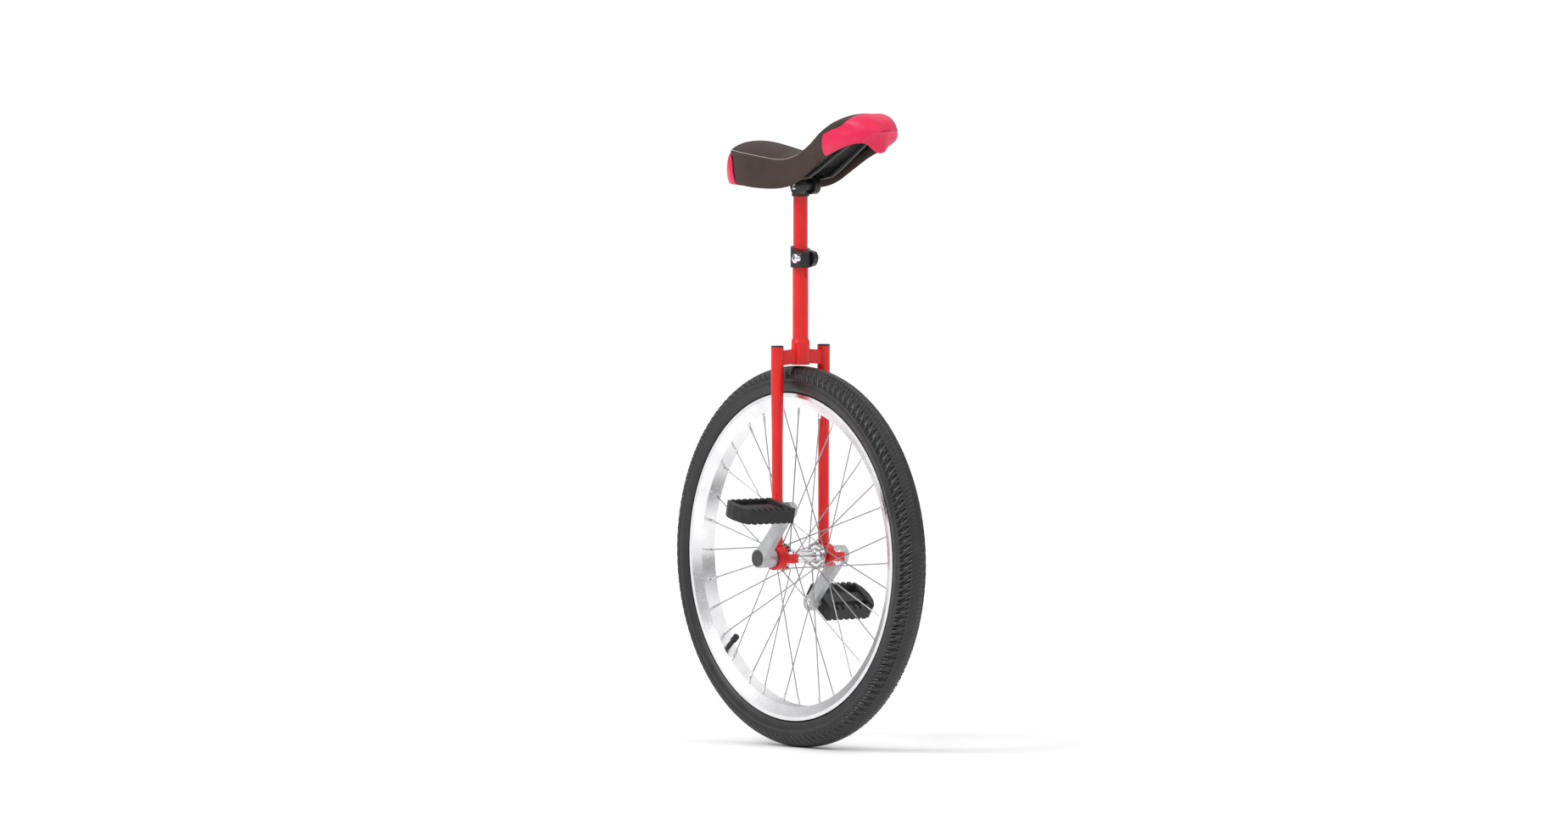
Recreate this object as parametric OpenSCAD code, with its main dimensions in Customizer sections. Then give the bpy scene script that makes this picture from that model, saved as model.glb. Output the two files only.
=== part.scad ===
// Unicycle with a 24 inch wheel, a split seat clamp and a railed saddle.
// +X is forward, the axle lies along Y, and the origin is the ground contact.

/* [Wheel] */
// Outer radius of the tyre
wheel_r = 305; // [300:1:310]
// Radius of the tyre's round section
tyre_section_r = 27.3; // [26.5:0.1:28]
// Half width of the rim over its flanges
rim_half_w = 21; // [19:0.5:22]
// Number of spokes, half of them on each flange
spoke_count = 32; // [32]
// Spoke crossings on each side
spoke_cross = 3; // [2:1:3]
// Radius of a spoke
spoke_r = 1; // [0.9:0.1:1.1]

/* [Drive] */
// Crank length from axle to pedal spindle
crank_len = 110; // [102:1:125]
// Crank angle above the forward direction
crank_angle = 47; // [0:1:90]
// Nose-down tilt of the right pedal
right_tilt = 13; // [0:1:40]
// Nose-down tilt of the left pedal
left_tilt = 35.5; // [0:0.5:40]

/* [Fork] */
// Distance from the middle plane to a fork leg's axis
leg_y = 47; // [46:0.5:49]
// Radius of a fork leg at its top
leg_r = 10.2; // [9.5:0.1:11]
// Height of the leg tops
leg_top = 641; // [636:1:645]
// Outer radius of the seat tube
tube_r = 12.7; // [12.7]

/* [Seat] */
// Height of the seat tube's top
tube_top = 796; // [790:1:800]
// Height of the saddle clip's underside
clip_z = 881; // [870:1:890]
// Length of the seat post
post_len = 191; // [180:1:200]

/* [Hidden] */
$fn = 64;
gap = 0.3;
axle_z = wheel_r;
spoke_pitch = 360 / spoke_count;
valve_angle = -140.625;

// Hub and bearings
flange_y = 32;
flange_r = 22;
flange_t = 2.6;
hole_circle_r = 19;
spoke_hole_r = 1.3;
stub_r = 1.2;
outer_run = flange_t / 2 + spoke_r + 1.3;
inner_run = flange_t / 2 + spoke_r + 0.4;
shell_r = 10;
axle_r = 7.5;
bearing_r = 16;
bearing_w = 9;
ball_r = 2.4;
ball_circle_r = 11.75;
holder_r = 20;
holder_w = 18;
ear_x = 34;
ear_t = 7;
bolt_r = 3;

// Cranks and pedals
crank_out = 87;
boss_in = 58;
boss_r = 15.5;
square_w = 11.6;
arm_t = 12;
arm_y = crank_out - arm_t / 2;
eye_r = 13;
spindle_r = 4.5;
thread_r = 7;
pedal_in = 96.5;
pedal_out = 195;
pedal_w = 66;
pedal_h = 24;
barrel_r = 8;
pedal_wall = 8;
tread_teeth = 7;

// Rim section
rim_top_r = 262;
rim_bed_r = 239.5;
rim_bed_half = 13;
rim_wall = 2;
tyre_mid_r = wheel_r - tyre_section_r;
air_r = tyre_section_r - 6;
stem_root = tyre_mid_r - air_r - 0.2;

// Seat parts
post_r = tube_r - 1.05;
sleeve_r = 14.8;
sleeve_bottom = wheel_r * 2 + 2;
sleeve_top = 653;
collar_r = 16;
collar_bottom = 767.6;
collar_h = 35;
clamp_x = 17.5;
clamp_z = 782.5;
slot_half = 1.8;
lug_y = 19.5;
far_lug_y = 11.8;
pivot_x = 13;
pivot_z = clip_z + 18;
disc_r = 15;
rail_r = 3.5;
rail_y = 23;
rail_z = pivot_z + 12;

// Saddle stations: [x, half width, edge height, crown height, skirt's lower edge]
saddle_rows = [
    [-156, 12, 950, 954, 924],
    [-146, 29, 951, 961, 906],
    [-125, 43, 951, 966, 899],
    [-90, 50, 948, 967, 896],
    [-50, 49, 944, 961, 893],
    [0, 45, 940, 953, 894],
    [40, 44, 948, 960, 903],
    [80, 46, 968, 979, 924],
    [115, 50, 990, 1001, 944],
    [150, 51, 1005, 1016, 957],
    [185, 43, 1009, 1017, 958],
    [206, 31, 1002, 1008, 956],
    [218, 14, 994, 997, 956]
];
skin = 2.5;
pad_depth = 20;
base_t = 4;
handle_x = 121;
panel_x = 186;
bumper_x = -136;
saddle_step = 6;

// Puts a shape drawn about the z axis on the axle, with its +z side on the right
module on_axle() {
    translate([0, 0, axle_z])
        rotate([90, 0, 0])
            children();
}

// A copy on each side of the middle plane
module both_sides() {
    children();
    mirror([0, 1, 0])
        children();
}

// A round bar along Y from y0 to y1
module bar_y(r, y0, y1) {
    translate([0, y0, 0])
        rotate([-90, 0, 0])
            cylinder(r = r, h = y1 - y0);
}

// A hexagonal bar along Y, flat to flat size
module hex_y(flat, y0, y1) {
    translate([0, y0, 0])
        rotate([-90, 0, 0])
            cylinder(d = flat / cos(30), h = y1 - y0, $fn = 6);
}

// ---------- wheel ----------

// An arc of the casing's cross-section at radius r, from angle a to angle b
function casing_arc(r, a, b, n) = [
    for (i = [0 : n])
        let (t = a + (b - a) * i / n) [tyre_mid_r + r * cos(t), r * sin(t)]
];

// The same points on the other side of the middle plane, in reverse order
function other_side(points) = [
    for (i = [len(points) - 1 : -1 : 0]) [points[i][0], -points[i][1]]
];

// The casing with its two beads, which hook inside the rim's flanges
module tyre() {
    seat = rim_top_r + gap;
    bead = [
        [seat, rim_half_w - 3.3], [seat - 6.8, rim_half_w - 3.3], [seat - 9, rim_half_w - 4.1],
        [seat - 9, rim_half_w - 5.8], [seat, rim_half_w - 5.4], [seat + 2.5, rim_half_w - 3.4]
    ];
    color([0.1, 0.1, 0.1])
        on_axle()
            rotate_extrude($fn = 128)
                polygon(concat(
                    casing_arc(tyre_section_r, -124, 124, 24),
                    bead,
                    casing_arc(tyre_section_r - 3.5, 122, -122, 12),
                    other_side(bead)
                ));
}

// The hole for the valve, drawn about the wheel's own axis
module valve_hole(radius) {
    rotate([0, 0, valve_angle])
        translate([rim_bed_r - 5, 0, 0])
            rotate([0, 90, 0])
                cylinder(r = radius, h = tyre_mid_r - rim_bed_r, $fn = 32);
}

module inner_tube() {
    color([0.15, 0.15, 0.15])
        on_axle()
            difference() {
                rotate_extrude($fn = 128)
                    translate([tyre_mid_r, 0])
                        difference() {
                            circle(r = air_r);
                            circle(r = air_r - 1.5);
                        }
                valve_hole(1.5);
            }
}

module rim_tape() {
    color([0.75, 0.3, 0.25])
        on_axle()
            difference() {
                rotate_extrude($fn = 128)
                    translate([rim_bed_r + rim_wall, -rim_bed_half + 3])
                        square([1, 2 * rim_bed_half - 6]);
                valve_hole(4.2);
            }
}

module rim_section() {
    half = [
        [rim_bed_r, rim_bed_half], [rim_top_r - 6, rim_half_w], [rim_top_r, rim_half_w],
        [rim_top_r, rim_half_w - 3], [rim_top_r - 3, rim_half_w - 3],
        [rim_top_r - 3, rim_half_w - rim_wall - 1], [rim_top_r - 7, rim_half_w - rim_wall - 0.8],
        [rim_bed_r + rim_wall, rim_bed_half - 1.5]
    ];
    polygon(concat(half, other_side(half)));
}

module rim() {
    color([0.85, 0.85, 0.87])
        on_axle()
            difference() {
                rotate_extrude($fn = 128)
                    rim_section();
                valve_hole(4.2);
            }
}

module at_valve() {
    on_axle()
        rotate([0, 0, valve_angle])
            rotate([0, -90, 0])
                children();
}

module valve_stem() {
    color([0.1, 0.1, 0.1])
        at_valve()
            difference() {
                translate([0, 0, -stem_root])
                    cylinder(r = 4, h = stem_root - rim_bed_r + 19);
                translate([0, 0, -stem_root - 1])
                    cylinder(r = 1.5, h = 60);
            }
}

module valve_cap() {
    color([0.08, 0.08, 0.08])
        at_valve()
            translate([0, 0, -rim_bed_r + 14])
                difference() {
                    cylinder(r = 5.2, h = 11);
                    translate([0, 0, -1])
                        cylinder(r = 4.1, h = 7);
                }
}

// The spoke's straight run, from its bend beside the hub's flange to its end in the nipple:
// side is 1 on the right and -1 on the left, and lean is the way it leaves the hub
function spoke_line(index, side, lean) =
    let (
        rim_a = index * spoke_pitch,
        hub_a = rim_a - lean * spoke_cross * 2 * spoke_pitch,
        level = side * (flange_y + (lean > 0 ? outer_run : -inner_run))
    )
    [
        [hole_circle_r * cos(hub_a), hole_circle_r * sin(hub_a), level],
        [(rim_bed_r - 5) * cos(rim_a), (rim_bed_r - 5) * sin(rim_a), side * 3.2]
    ];

// Puts a shape drawn along +z on the line from one point to another
module along(from, to) {
    run = to - from;
    translate(from)
        rotate([0, acos(run[2] / norm(run)), atan2(run[1], run[0])])
            children();
}

// A spoke passes through the flange, with its head on one side and its run on the other
module spoke(index, side, lean) {
    line = spoke_line(index, side, lean);
    head = flange_y - lean * inner_run;
    stub_end = lean > 0 ? flange_y + outer_run + stub_r : flange_y - inner_run - stub_r;
    along(line[0], line[1])
        cylinder(r = spoke_r, h = norm(line[1] - line[0]), $fn = 16);
    translate([line[0][0], line[0][1], side * (head + stub_end) / 2])
        cylinder(r = stub_r, h = abs(stub_end - head), center = true, $fn = 16);
    translate([line[0][0], line[0][1], side * head])
        sphere(r = 1.9, $fn = 16);
}

module nipple(index, side, lean) {
    line = spoke_line(index, side, lean);
    length = norm(line[1] - line[0]);
    along(line[0], line[1])
        difference() {
            translate([0, 0, length - 8])
                cylinder(r = 2, h = 12.2, $fn = 16);
            translate([0, 0, length - 9])
                cylinder(r = spoke_r + 0.06, h = 9.3, $fn = 16);
        }
}

module right_spokes() {
    color([0.8, 0.8, 0.82])
        on_axle()
            for (i = [0 : 2 : spoke_count - 2])
                spoke(i, 1, i % 4 == 0 ? 1 : -1);
}

module left_spokes() {
    color([0.8, 0.8, 0.82])
        on_axle()
            for (i = [1 : 2 : spoke_count - 1])
                spoke(i, -1, i % 4 == 1 ? 1 : -1);
}

module spoke_nipples() {
    color([0.9, 0.9, 0.9])
        on_axle() {
            for (i = [0 : 2 : spoke_count - 2])
                nipple(i, 1, i % 4 == 0 ? 1 : -1);
            for (i = [1 : 2 : spoke_count - 1])
                nipple(i, -1, i % 4 == 1 ? 1 : -1);
        }
}

module hub_shell() {
    color([0.86, 0.86, 0.88])
        on_axle()
            difference() {
                rotate_extrude()
                    polygon([
                        [axle_r, -flange_y - 4], [12, -flange_y - 4], [12, -flange_y - flange_t / 2],
                        [flange_r, -flange_y - flange_t / 2], [flange_r, -flange_y + flange_t / 2],
                        [13, -flange_y + flange_t / 2], [shell_r, -flange_y + 7],
                        [shell_r, flange_y - 7], [13, flange_y - flange_t / 2],
                        [flange_r, flange_y - flange_t / 2], [flange_r, flange_y + flange_t / 2],
                        [12, flange_y + flange_t / 2], [12, flange_y + 4], [axle_r, flange_y + 4]
                    ]);
                for (i = [0 : spoke_count / 2 - 1], side = [-1, 1])
                    rotate([0, 0, (2 * i + (side < 0 ? 1 : 0)) * spoke_pitch])
                        translate([hole_circle_r, 0, side * flange_y])
                            cylinder(r = spoke_hole_r, h = flange_t + 2, center = true, $fn = 16);
            }
}

module hub_axle() {
    color([0.7, 0.7, 0.72])
        translate([0, 0, axle_z])
            difference() {
                union() {
                    bar_y(axle_r, -boss_in + 1, boss_in - 1);
                    rotate([0, -crank_angle, 0])
                        cube([square_w * 0.9, 2 * (crank_out - 8), square_w * 0.9], center = true);
                }
                both_sides()
                    bar_y(3.5, crank_out - 26, crank_out);
            }
}

module axle_spacers() {
    color([0.75, 0.75, 0.77])
        translate([0, 0, axle_z])
            both_sides()
                difference() {
                    bar_y(9.5, flange_y + 4, leg_y - bearing_w / 2);
                    bar_y(axle_r + 0.05, flange_y, leg_y);
                }
}

module bearing_ring(inner, outer) {
    translate([0, 0, axle_z])
        both_sides()
            difference() {
                bar_y(outer, leg_y - bearing_w / 2, leg_y + bearing_w / 2);
                bar_y(inner, leg_y - bearing_w, leg_y + bearing_w);
                translate([0, leg_y, 0])
                    rotate([90, 0, 0])
                        rotate_extrude()
                            translate([ball_circle_r, 0])
                                circle(r = ball_r + 0.06, $fn = 32);
            }
}

module bearing_inner_rings() {
    color([0.8, 0.8, 0.82])
        bearing_ring(axle_r + 0.05, ball_circle_r - 1.3);
}

module bearing_outer_rings() {
    color([0.8, 0.8, 0.82])
        bearing_ring(ball_circle_r + 1.3, bearing_r);
}

module bearing_balls() {
    color([0.9, 0.9, 0.92])
        translate([0, 0, axle_z])
            for (i = [0 : 8], side = [-1, 1])
                rotate([0, i * 40, 0])
                    translate([ball_circle_r, side * leg_y, 0])
                        sphere(r = ball_r, $fn = 24);
}

// ---------- drive ----------

// The right crank points up and forward, the left one down and back
module at_crank(side) {
    translate([0, 0, axle_z])
        rotate([0, -crank_angle + (side > 0 ? 180 : 0), 0])
            children();
}

module crank(side) {
    y_in = side < 0 ? -arm_y - arm_t / 2 : arm_y - arm_t / 2;
    at_crank(side)
        difference() {
            union() {
                bar_y(boss_r, side < 0 ? -crank_out : boss_in, side < 0 ? -boss_in : crank_out);
                hull() {
                    translate([6, y_in, 0])
                        bar_y(11.5, 0, arm_t, $fn = 32);
                    translate([crank_len, y_in, 0])
                        bar_y(8.5, 0, arm_t, $fn = 32);
                }
                translate([crank_len, y_in, 0])
                    bar_y(eye_r, 0, arm_t);
            }
            cube([square_w * 0.9, 2 * (crank_out - 8), square_w * 0.9], center = true);
            bar_y(9.5, crank_out - 8, crank_out + 1);
            bar_y(9.5, -crank_out - 1, -crank_out + 8);
            translate([crank_len, 0, 0])
                bar_y(thread_r, -crank_out - 1, crank_out + 1);
        }
}

module right_crank() {
    color([0.68, 0.69, 0.7])
        crank(-1);
}

module left_crank() {
    color([0.68, 0.69, 0.7])
        crank(1);
}

module crank_bolts() {
    color([0.6, 0.6, 0.62])
        translate([0, 0, axle_z])
            both_sides() {
                bar_y(3.5, crank_out - 24, crank_out - 7.9);
                hex_y(13, crank_out - 7.9, crank_out - 2.5);
            }
}

module crank_dust_caps() {
    color([0.2, 0.2, 0.21])
        translate([0, 0, axle_z])
            both_sides() {
                bar_y(9.4, crank_out - 2.4, crank_out);
                bar_y(13, crank_out, crank_out + 1.6);
            }
}

module at_pedal(side) {
    at_crank(side)
        translate([crank_len, 0, 0])
            rotate([0, crank_angle - (side > 0 ? 180 : 0), 0])
                rotate([0, side < 0 ? right_tilt : left_tilt, 0])
                    if (side < 0)
                        mirror([0, 1, 0])
                            children();
                    else
                        children();
}

// Pedal pieces are drawn on the left (+Y) and mirrored for the right
module pedal_spindle() {
    bar_y(thread_r, arm_y - arm_t / 2, arm_y + arm_t / 2);
    hex_y(15, arm_y + arm_t / 2, arm_y + arm_t / 2 + 4);
    bar_y(spindle_r, arm_y + arm_t / 2 + 4, pedal_out - 20);
    hex_y(10, pedal_out - 20, pedal_out - 15);
}

module pedal_plan() {
    bow = 5;
    polygon([
        [-pedal_w / 2, pedal_in], [pedal_w / 2, pedal_in], [pedal_w / 2, pedal_out - 16],
        [pedal_w / 2 - 4, pedal_out - 9], [pedal_w / 4, pedal_out - bow / 2], [0, pedal_out],
        [-pedal_w / 4, pedal_out - bow / 2], [-pedal_w / 2 + 4, pedal_out - 9],
        [-pedal_w / 2, pedal_out - 16]
    ]);
}

module pedal_body() {
    tooth = (pedal_out - pedal_in - 16) / tread_teeth;
    window = (pedal_w - 2 * pedal_wall - 2 * barrel_r - 6) / 2;
    difference() {
        translate([0, 0, -pedal_h / 2])
            linear_extrude(pedal_h)
                pedal_plan();
        for (side = [-1, 1])
            translate([side * (barrel_r + 3 + window / 2), (pedal_in + pedal_out) / 2, 0])
                cube([window, pedal_out - pedal_in - 26, pedal_h + 2], center = true);
        for (face = [-1, 1])
            translate([0, (pedal_in + pedal_out) / 2, face * pedal_h / 2])
                cube([2 * barrel_r + 8, pedal_out - pedal_in - 26, 8], center = true);
        for (i = [0 : tread_teeth - 1], face = [-1, 1])
            translate([0, pedal_in + 6 + (i + 0.5) * tooth, face * pedal_h / 2])
                cube([pedal_w + 2, tooth * 0.42, 4.6], center = true);
        bar_y(barrel_r - 1.5, pedal_in - 1, pedal_out - 6);
    }
}

module pedal_bushes() {
    for (y = [pedal_in + 0.5, pedal_out - 34])
        translate([0, y, 0])
            difference() {
                bar_y(barrel_r - 1.5, 0, 12);
                bar_y(spindle_r + 0.06, -1, 13);
            }
}

module pedal_end_cap() {
    bar_y(barrel_r - 1.5, pedal_out - 13, pedal_out - 6);
}

module right_pedal_spindle() {
    color([0.82, 0.82, 0.84])
        at_pedal(-1)
            pedal_spindle();
}

module left_pedal_spindle() {
    color([0.82, 0.82, 0.84])
        at_pedal(1)
            pedal_spindle();
}

module right_pedal_body() {
    color([0.2, 0.2, 0.2])
        at_pedal(-1)
            pedal_body();
}

module left_pedal_body() {
    color([0.2, 0.2, 0.2])
        at_pedal(1)
            pedal_body();
}

module right_pedal_bushes() {
    color([0.85, 0.83, 0.75])
        at_pedal(-1)
            pedal_bushes();
}

module left_pedal_bushes() {
    color([0.85, 0.83, 0.75])
        at_pedal(1)
            pedal_bushes();
}

module right_pedal_end_cap() {
    color([0.15, 0.15, 0.15])
        at_pedal(-1)
            pedal_end_cap();
}

module left_pedal_end_cap() {
    color([0.15, 0.15, 0.15])
        at_pedal(1)
            pedal_end_cap();
}

// ---------- fork ----------

module seat_tube() {
    color([0.9, 0.1, 0.1])
        difference() {
            translate([0, 0, sleeve_bottom])
                cylinder(r = tube_r, h = tube_top - sleeve_bottom);
            translate([0, 0, sleeve_bottom - 1])
                cylinder(r = post_r + 0.05, h = tube_top);
            translate([0, -1.25, tube_top - 45])
                cube([30, 2.5, 60]);
        }
}

module crown_sleeve() {
    color([0.9, 0.1, 0.1])
        rotate_extrude()
            polygon([
                [tube_r, sleeve_bottom], [sleeve_r, sleeve_bottom], [sleeve_r, sleeve_top - 5],
                [tube_r + 0.6, sleeve_top], [tube_r, sleeve_top]
            ]);
}

// The right arm; its ends are hollowed to sit on the sleeve and the leg
module crown_arm() {
    difference() {
        hull() {
            translate([-5, -leg_y, 611.5])
                cube([10, 1, 23]);
            translate([-5, -12, 614])
                cube([10, 1, 23]);
        }
        translate([0, 0, 600])
            cylinder(r = sleeve_r, h = 60);
        translate([0, -leg_y, 600])
            cylinder(r = leg_r, h = 60);
    }
}

module right_crown_arm() {
    color([0.9, 0.1, 0.1])
        crown_arm();
}

module left_crown_arm() {
    color([0.9, 0.1, 0.1])
        mirror([0, 1, 0])
            crown_arm();
}

// A leg of two stretches, hollow, tapering down to the bearing holder
module fork_leg() {
    low_r = 8.8;
    bottom = axle_z + holder_r - 1;
    translate([0, -leg_y, 0])
        difference() {
            rotate_extrude()
                polygon([
                    [0, bottom], [low_r, bottom], [low_r, 480], [leg_r, 600], [leg_r, leg_top],
                    [leg_r - 1.6, leg_top], [leg_r - 1.6, 600], [low_r - 1.6, 480],
                    [low_r - 1.6, bottom + 8], [0, bottom + 8]
                ]);
            translate([0, 0, axle_z])
                bar_y(holder_r, -20, 20);
        }
}

module right_fork_leg() {
    color([0.9, 0.1, 0.1])
        fork_leg();
}

module left_fork_leg() {
    color([0.9, 0.1, 0.1])
        mirror([0, 1, 0])
            fork_leg();
}

module leg_cap() {
    translate([0, -leg_y, leg_top]) {
        cylinder(r1 = leg_r + 0.2, r2 = leg_r - 0.8, h = 2.4);
        translate([0, 0, -8])
            cylinder(r = leg_r - 1.6, h = 8);
    }
}

module right_leg_cap() {
    color([0.1, 0.1, 0.1])
        leg_cap();
}

module left_leg_cap() {
    color([0.1, 0.1, 0.1])
        mirror([0, 1, 0])
            leg_cap();
}

// Half of the right holder: half is 1 for the upper one and -1 for the cap
module holder_half(half) {
    translate([0, -leg_y + holder_w / 2, axle_z])
        rotate([90, 0, 0])
            difference() {
                linear_extrude(holder_w)
                    difference() {
                        union() {
                            circle(r = holder_r);
                            translate([-ear_x - 9, -ear_t])
                                square([2 * (ear_x + 9), 2 * ear_t]);
                        }
                        circle(r = bearing_r);
                        translate([-60, half > 0 ? -59.8 : -0.2])
                            square([120, 60]);
                    }
                for (side = [-1, 1])
                    translate([side * ear_x, 0, holder_w / 2])
                        rotate([90, 0, 0])
                            cylinder(r = bolt_r + 0.1, h = 60, center = true);
            }
}

module right_bearing_holder() {
    color([0.9, 0.1, 0.1])
        holder_half(1);
}

module left_bearing_holder() {
    color([0.9, 0.1, 0.1])
        mirror([0, 1, 0])
            holder_half(1);
}

module right_holder_cap() {
    color([0.9, 0.1, 0.1])
        holder_half(-1);
}

module left_holder_cap() {
    color([0.9, 0.1, 0.1])
        mirror([0, 1, 0])
            holder_half(-1);
}

module at_ears() {
    for (x = [-ear_x, ear_x], y = [-leg_y, leg_y])
        translate([x, y, axle_z])
            children();
}

module holder_bolts() {
    color([0.85, 0.85, 0.87])
        at_ears() {
            translate([0, 0, -ear_t - 8])
                cylinder(r = bolt_r, h = 2 * ear_t + 8);
            translate([0, 0, ear_t])
                cylinder(d = 10 / cos(30), h = 4, $fn = 6);
        }
}

module holder_nuts() {
    color([0.85, 0.85, 0.87])
        at_ears()
            translate([0, 0, -ear_t - 5.2])
                difference() {
                    cylinder(d = 10 / cos(30), h = 5, $fn = 6);
                    translate([0, 0, -1])
                        cylinder(r = bolt_r, h = 8);
                }
}

// ---------- seat clamp ----------

module seat_collar() {
    color([0.12, 0.12, 0.12])
        translate([0, 0, collar_bottom])
            difference() {
                union() {
                    cylinder(r = collar_r, h = collar_h);
                    translate([0, -lug_y, 0])
                        cube([26, lug_y, collar_h]);
                    intersection() {
                        translate([clamp_x, 0, clamp_z - collar_bottom])
                            rotate([-90, 0, 0])
                                cylinder(r1 = 15.4, r2 = 13.6, h = far_lug_y);
                        cube([40, 40, 60]);
                    }
                }
                translate([0, 0, -1])
                    cylinder(r = tube_r, h = tube_top - collar_bottom + 1);
                translate([0, 0, -1])
                    cylinder(r = post_r + 0.3, h = 60);
                translate([0, -slot_half, -1])
                    cube([40, 2 * slot_half, 60]);
                translate([-20, -30, collar_h])
                    rotate([0, 12, 0])
                        cube([70, 60, 20]);
                translate([clamp_x, 0, clamp_z - collar_bottom])
                    bar_y(bolt_r + 0.1, -40, 40);
            }
}

module collar_bolt() {
    color([0.88, 0.88, 0.9])
        translate([clamp_x, 0, clamp_z]) {
            bar_y(bolt_r, -lug_y - 1, 24.5);
            difference() {
                translate([0, -lug_y, 0])
                    rotate([90, 0, 0])
                        rotate_extrude()
                            polygon([[0, 0], [8, 0], [8, 4.2], [7.3, 6.2], [5.6, 7.6], [0, 8]]);
                hex_y(5, -lug_y - 9, -lug_y - 3);
            }
        }
}

module collar_nut() {
    color([0.88, 0.88, 0.9])
        translate([clamp_x, 0, clamp_z])
            difference() {
                union() {
                    bar_y(6.5, far_lug_y, far_lug_y + 1.6);
                    hex_y(11, far_lug_y + 1.6, far_lug_y + 9);
                }
                bar_y(bolt_r, 0, 40);
            }
}

// ---------- seat post and saddle clip ----------

module seat_post() {
    color([0.9, 0.1, 0.1])
        translate([0, 0, clip_z + 2.5 - post_len])
            difference() {
                cylinder(r = post_r, h = post_len);
                translate([0, 0, -1])
                    cylinder(r = post_r - 2, h = post_len + 2);
            }
}

module saddle_clip() {
    color([0.12, 0.12, 0.12])
        difference() {
            union() {
                translate([0, 0, clip_z])
                    cylinder(r = 14.2, h = 2.6);
                intersection() {
                    translate([0, 0, clip_z])
                        cylinder(r = 14.2, h = 16);
                    translate([-20, -8.6, clip_z])
                        cube([40, 17.2, 20]);
                }
                translate([pivot_x, 0, pivot_z])
                    bar_y(8.5, -8.6, 8.6);
            }
            translate([0, 0, clip_z - 1])
                cylinder(r = post_r + 0.05, h = 3.5);
            translate([pivot_x, 0, pivot_z])
                bar_y(bolt_r + 0.1, -20, 20);
        }
}

module clip_bolt() {
    color([0.88, 0.88, 0.9])
        translate([pivot_x, 0, pivot_z])
            difference() {
                union() {
                    bar_y(bolt_r, -20, 23);
                    bar_y(6.5, -24, -20);
                }
                hex_y(5, -25, -21.5);
            }
}

module clip_nut() {
    color([0.88, 0.88, 0.9])
        translate([pivot_x, 0, pivot_z])
            difference() {
                hex_y(10, 20, 25);
                bar_y(bolt_r, 15, 30);
            }
}

module clip_inner_discs() {
    color([0.12, 0.12, 0.12])
        translate([pivot_x, 0, pivot_z])
            both_sides()
                difference() {
                    bar_y(disc_r, 8.7, 13.7);
                    bar_y(bolt_r + 0.1, 0, 30);
                }
}

// ---------- saddle ----------

// The rail's middle line, from the back of the base to the front
rail_points = [
    [-114, 21, 931], [-104, 22, 919], [-86, rail_y, rail_z + 1], [-60, rail_y, rail_z],
    [30, rail_y, rail_z], [52, rail_y, rail_z + 4], [80, 22, 930], [115, 20, 951],
    [145, 17, 968], [157, 16, 981]
];

// A tube of the given radius swept along points, with flat ends
module swept_tube(points, radius, sides = 10) {
    last = len(points) - 1;
    rings = [
        for (i = [0 : last])
            let (
                a = points[max(i - 1, 0)],
                b = points[min(i + 1, last)],
                way = (b - a) / norm(b - a),
                across = [-way[1], way[0], 0] / norm([way[0], way[1]]),
                up = cross(across, way)
            )
            for (k = [0 : sides - 1])
                points[i] + radius * (cos(k * 360 / sides) * across + sin(k * 360 / sides) * up)
    ];
    walls = [
        for (i = [0 : last - 1], k = [0 : sides - 1])
            [i * sides + k, i * sides + (k + 1) % sides,
             (i + 1) * sides + (k + 1) % sides, (i + 1) * sides + k]
    ];
    polyhedron(rings, concat([for (w = walls) [w[3], w[2], w[1], w[0]]],
        [[for (k = [0 : sides - 1]) k]], [[for (k = [sides - 1 : -1 : 0]) last * sides + k]]));
}

module rail_clamps() {
    color([0.12, 0.12, 0.12])
        both_sides()
            difference() {
                union() {
                    translate([pivot_x, 0, pivot_z])
                        bar_y(disc_r, 14, 19.8);
                    translate([pivot_x - 9, 16, pivot_z + 7.5])
                        cube([18, 12, 9.5]);
                }
                translate([pivot_x, 0, pivot_z])
                    bar_y(bolt_r + 0.1, 0, 30);
                translate([pivot_x - 20, rail_y, rail_z])
                    rotate([0, 90, 0])
                        cylinder(r = rail_r + 0.05, h = 40);
            }
}

module saddle_rails() {
    color([0.15, 0.15, 0.15])
        both_sides()
            swept_tube(rail_points, rail_r);
}

// Column c of the station table at x, joined by straight lines
function column(c, x) = lookup(x, [for (row = saddle_rows) [row[0], row[c]]]);

// The points of one crowned cross-section, inset all round, down to height low
function crowned(x, inset, low) =
    let (
        w = column(1, x) - inset,
        edge = column(2, x) - inset,
        crown = column(3, x) - inset
    )
    concat(
        [[x, -w, low], [x, -w, edge]],
        [for (k = [-3 : 3]) [x, w * k / 4, edge + (crown - edge) * (1 - k * k / 16)]],
        [[x, w, edge], [x, w, low]]
    );

// A solid lofted through cross-sections that all have the same number of points
module loft(sections) {
    n = len(sections[0]);
    last = len(sections) - 1;
    points = [for (s = sections, p = s) p];
    walls = [
        for (i = [0 : last - 1], k = [0 : n - 1])
            [i * n + k, i * n + (k + 1) % n, (i + 1) * n + (k + 1) % n, (i + 1) * n + k]
    ];
    back = [for (k = [n - 1 : -1 : 0]) k];
    front = [for (k = [0 : n - 1]) last * n + k];
    polyhedron(points, concat(walls, [back, front]));
}

function stations(x0, x1) = [
    for (i = [0 : ceil((x1 - x0) / saddle_step)]) min(x0 + i * saddle_step, x1)
];

module skirt_solid(x0, x1, inset, extra) {
    loft([for (x = stations(x0, x1)) crowned(x, inset, column(4, x) - extra)]);
}

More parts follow.
